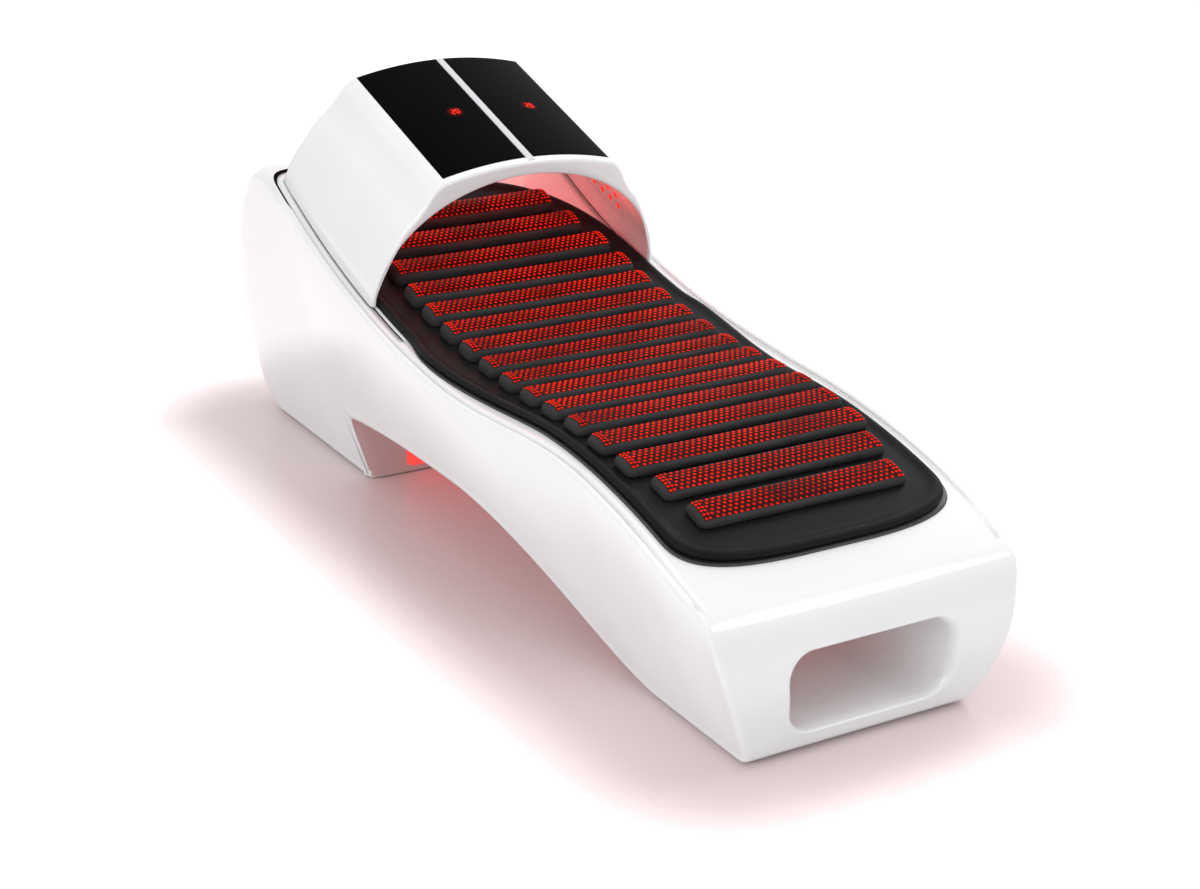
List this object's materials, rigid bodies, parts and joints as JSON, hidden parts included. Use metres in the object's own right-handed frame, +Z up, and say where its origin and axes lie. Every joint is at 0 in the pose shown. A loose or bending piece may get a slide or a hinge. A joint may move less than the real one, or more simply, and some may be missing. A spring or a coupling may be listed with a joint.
{
  "type": "red light therapy bed",
  "caption": "Curved lounge bed with a padded row of red light bars, a tunnel hood that slides along the deck, glass roof panels with displays, and an open arch under the waist.",
  "frame": {"origin": "on the floor, at the middle of the bed's length and width", "axes": "+X towards the foot end, +Y across the bed, +Z up"},
  "size_m": [2.5441, 0.8596, 1.0796],
  "materials": {
    "shell_white": "high-gloss moulded shell",
    "deck_white": "gloss, slightly greyer than the shell",
    "liner_white": "gloss, lit pink by the red lights",
    "red_lens": "translucent red lens that glows",
    "black_plastic": "fine satin black",
    "rubber": "matt black rubber",
    "frame_steel": "powder-coated steel",
    "rail_aluminium": "satin extrusion",
    "black_vinyl": "matt black upholstery vinyl",
    "bar_vinyl": "matt dark grey upholstery over foam",
    "case_steel": "zinc-plated sheet case",
    "board_green": "green circuit board with black parts",
    "switch_red": "satin red rocker",
    "black_glass": "gloss black tinted glass",
    "trim_grey": "gloss light grey trim",
    "display_red": "dark red display window",
    "roller_plastic": "hard nylon"
  },
  "bodies": {
    "bed": {"body_shell": "shell_white", "head_shell": "shell_white", "foot_shell": "shell_white", "deck_panel": "deck_white", "belly_panel": "shell_white", "foot_tunnel": "shell_white", "glow_box": "shell_white", "glow_lens": "red_lens", "head_base": "black_plastic", "foot_base": "black_plastic", "rubber_feet": "rubber", "chassis": "frame_steel", "rail_left": "rail_aluminium", "rail_right": "rail_aluminium", "tray_plate": "black_plastic", "pad": "black_vinyl", "light_bar_01": "bar_vinyl", "light_bar_02": "bar_vinyl", "light_bar_03": "bar_vinyl", "light_bar_04": "bar_vinyl", "light_bar_05": "bar_vinyl", "light_bar_06": "bar_vinyl", "light_bar_07": "bar_vinyl", "light_bar_08": "bar_vinyl", "light_bar_09": "bar_vinyl", "light_bar_10": "bar_vinyl", "light_bar_11": "bar_vinyl", "light_bar_12": "bar_vinyl", "light_bar_13": "bar_vinyl", "light_bar_14": "bar_vinyl", "light_bar_15": "bar_vinyl", "light_bar_16": "bar_vinyl", "led_strips": "red_lens", "power_supply_left": "case_steel", "power_supply_right": "case_steel", "driver_board": "board_green", "service_panel": "black_plastic", "fan_housing": "black_plastic", "power_inlet": "black_plastic"},
    "hood": {"hood_shell": "shell_white", "hood_liner": "liner_white", "glass_left": "black_glass", "glass_right": "black_glass", "spine_trim": "trim_grey", "display_left": "display_red", "display_right": "display_red", "hood_light_left": "red_lens", "hood_light_right": "red_lens", "carriage_left": "frame_steel", "carriage_right": "frame_steel"},
    "roller_front_left": {"roller_front_left": "roller_plastic"},
    "roller_rear_left": {"roller_rear_left": "roller_plastic"},
    "roller_front_right": {"roller_front_right": "roller_plastic"},
    "roller_rear_right": {"roller_rear_right": "roller_plastic"},
    "fan": {"fan_rotor": "black_plastic"},
    "switch": {"switch_rocker": "switch_red"}
  },
  "joints": [
    {"name": "hood_slide", "type": "hinge", "parent": "bed", "child": "hood", "pos_m": [0.445, 0, 3.046], "axis": [0, -1, 0], "range_deg": [-0.56, 3.6]},
    {"name": "roller_front_left_spin", "type": "hinge", "parent": "hood", "child": "roller_front_left", "pos_m": [-0.28221, -0.3638, 0.56435], "axis": [0, 1, 0], "range_deg": [-120, 680]},
    {"name": "roller_rear_left_spin", "type": "hinge", "parent": "hood", "child": "roller_rear_left", "pos_m": [-0.64811, -0.3638, 0.70239], "axis": [0, 1, 0], "range_deg": [-120, 680]},
    {"name": "roller_front_right_spin", "type": "hinge", "parent": "hood", "child": "roller_front_right", "pos_m": [-0.28221, 0.3638, 0.56435], "axis": [0, 1, 0], "range_deg": [-120, 680]},
    {"name": "roller_rear_right_spin", "type": "hinge", "parent": "hood", "child": "roller_rear_right", "pos_m": [-0.64811, 0.3638, 0.70239], "axis": [0, 1, 0], "range_deg": [-120, 680]},
    {"name": "fan_spin", "type": "hinge", "parent": "bed", "child": "fan", "pos_m": [-1.21457, 0.07, 0.24827], "axis": [-0.9628, 0, 0.2703], "continuous": true},
    {"name": "switch_rock", "type": "hinge", "parent": "bed", "child": "switch", "pos_m": [-1.21732, -0.07, 0.28954], "axis": [0, -1, 0], "range_deg": [-12, 0]}
  ],
  "couplings": [
    {"joint": "roller_front_left_spin", "follows": "hood_slide", "ratio": 184.71},
    {"joint": "roller_rear_left_spin", "follows": "hood_slide", "ratio": 184.71},
    {"joint": "roller_front_right_spin", "follows": "hood_slide", "ratio": 184.71},
    {"joint": "roller_rear_right_spin", "follows": "hood_slide", "ratio": 184.71}
  ]
}
